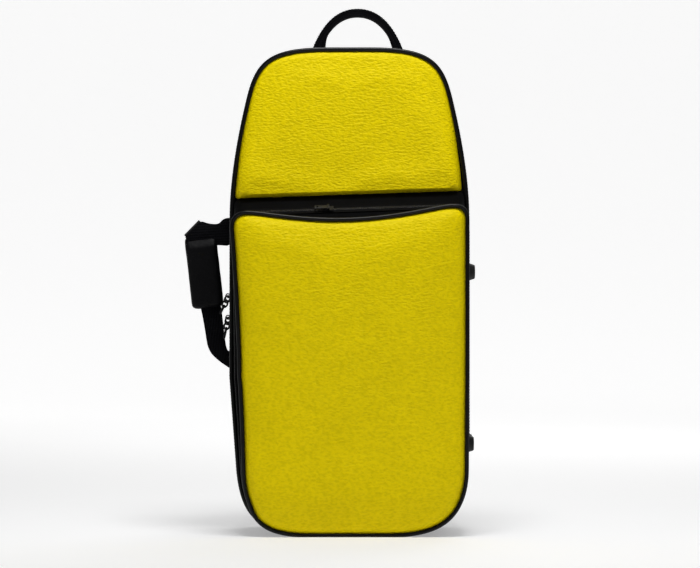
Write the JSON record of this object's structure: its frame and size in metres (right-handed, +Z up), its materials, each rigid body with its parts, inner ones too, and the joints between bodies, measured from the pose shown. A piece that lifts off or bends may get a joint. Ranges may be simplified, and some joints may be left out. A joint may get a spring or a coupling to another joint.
{
  "type": "instrument carrying case",
  "caption": "Upright zipped semi-rigid carrying case with tapered shoulders, hinged lid, padded front pocket, carry loop, side handle and side feet.",
  "frame": {"origin": "middle of the flat base, 8 mm behind the zip line", "axes": "+Z up along the case, -Y out of its front, +X towards its hinge side and side feet"},
  "size_m": [0.3914, 0.2026, 0.708],
  "materials": {
    "shell_fabric": "matte black woven nylon over a stiff foam and ply wall",
    "plush": "short dark grey plush over foam",
    "piping": "glossy black vinyl piping",
    "pad_mesh": "black spacer mesh over foam",
    "zip_tape": "black woven polyester tape",
    "zip_coil": "black nylon coil",
    "rubber": "matte black moulded rubber",
    "steel": "nickel-plated steel",
    "webbing": "black ribbed polypropylene webbing",
    "yellow_leather": "yellow pebble-grained faux leather over foam",
    "slider": "black enamelled zinc",
    "pull": "black moulded rubber pull",
    "grip_leather": "smooth black faux leather over foam"
  },
  "bodies": {
    "back": {"back_shell": "shell_fabric", "instrument_bed": "plush", "back_piping": "piping", "back_pad_upper": "pad_mesh", "back_pad_lower": "pad_mesh", "zip_tape_back": "zip_tape", "zip_teeth_back": "zip_coil", "hinge_strip_back": "zip_tape", "feet_back": "rubber", "foot_screws_back": "steel", "top_handle": "webbing", "top_handle_tabs": "webbing", "side_handle_tabs": "webbing", "ring_tabs": "webbing"},
    "lid": {"lid_shell": "shell_fabric", "lid_padding": "plush", "lid_piping": "piping", "upper_panel": "yellow_leather", "zip_tape_lid": "zip_tape", "zip_teeth_lid": "zip_coil", "hinge_strip_lid": "zip_tape", "feet_lid": "rubber", "foot_screws_lid": "steel", "pocket_gusset": "shell_fabric", "pocket_teeth_lid": "zip_coil"},
    "pocket_flap": {"pocket_panel": "yellow_leather", "pocket_piping": "piping", "pocket_flap_gusset": "shell_fabric", "pocket_teeth_flap": "zip_coil"},
    "upper_slider": {"zip_slider_upper": "slider"},
    "lower_slider": {"zip_slider_lower": "slider"},
    "upper_pull": {"zip_pull_upper": "pull"},
    "lower_pull": {"zip_pull_lower": "pull"},
    "pocket_slider": {"pocket_slider": "slider"},
    "pocket_pull": {"pocket_pull": "pull"},
    "side_handle": {"side_handle_strap": "webbing", "side_handle_grip": "grip_leather"},
    "ring_ul": {"ring_upper_left": "steel"},
    "ring_ur": {"ring_upper_right": "steel"},
    "ring_ll": {"ring_lower_left": "steel"},
    "ring_lr": {"ring_lower_right": "steel"}
  },
  "joints": [
    {"name": "lid_open", "type": "hinge", "parent": "back", "child": "lid", "pos_m": [0.162, -0.008, 0.26], "axis": [0, 0, 1], "range_deg": [0, 110]},
    {"name": "pocket_open", "type": "hinge", "parent": "lid", "child": "pocket_flap", "pos_m": [0, -0.08, 0.0035], "axis": [1, 0, 0], "range_deg": [0, 12]},
    {"name": "upper_slider_slide", "type": "slide", "parent": "back", "child": "upper_slider", "axis": [0, 0, 1], "range_m": [0, 0.09]},
    {"name": "lower_slider_slide", "type": "slide", "parent": "back", "child": "lower_slider", "axis": [0, 0, -1], "range_m": [0, 0.065]},
    {"name": "upper_pull_swing", "type": "hinge", "parent": "upper_slider", "child": "upper_pull", "pos_m": [-0.1635, -0.008, 0.316], "axis": [0, 1, 0], "range_deg": [0, 120]},
    {"name": "lower_pull_swing", "type": "hinge", "parent": "lower_slider", "child": "lower_pull", "pos_m": [-0.1635, -0.008, 0.287], "axis": [0, 1, 0], "range_deg": [0, 85]},
    {"name": "pocket_slider_slide", "type": "slide", "parent": "pocket_flap", "child": "pocket_slider", "axis": [0.9995, 0, 0.0332], "range_m": [-0.1, 0.15]},
    {"name": "pocket_pull_swing", "type": "hinge", "parent": "pocket_slider", "child": "pocket_pull", "pos_m": [-0.02812, -0.08315, 0.43563], "axis": [-0.0205, 0.787, 0.6167], "range_deg": [0, 100]},
    {"name": "side_handle_swing", "type": "hinge", "parent": "back", "child": "side_handle", "pos_m": [-0.1633, 0.02, 0.3165], "axis": [0, 0, 1], "range_deg": [-25, 25]},
    {"name": "ring_ul_swing", "type": "hinge", "parent": "back", "child": "ring_ul", "pos_m": [-0.05, 0.0873, 0.584], "axis": [1, 0, 0], "range_deg": [0, 110]},
    {"name": "ring_ur_swing", "type": "hinge", "parent": "back", "child": "ring_ur", "pos_m": [0.05, 0.0873, 0.584], "axis": [1, 0, 0], "range_deg": [0, 110]},
    {"name": "ring_ll_swing", "type": "hinge", "parent": "back", "child": "ring_ll", "pos_m": [-0.1, 0.0873, 0.092], "axis": [1, 0, 0], "range_deg": [0, 110]},
    {"name": "ring_lr_swing", "type": "hinge", "parent": "back", "child": "ring_lr", "pos_m": [0.1, 0.0873, 0.092], "axis": [1, 0, 0], "range_deg": [0, 110]}
  ]
}
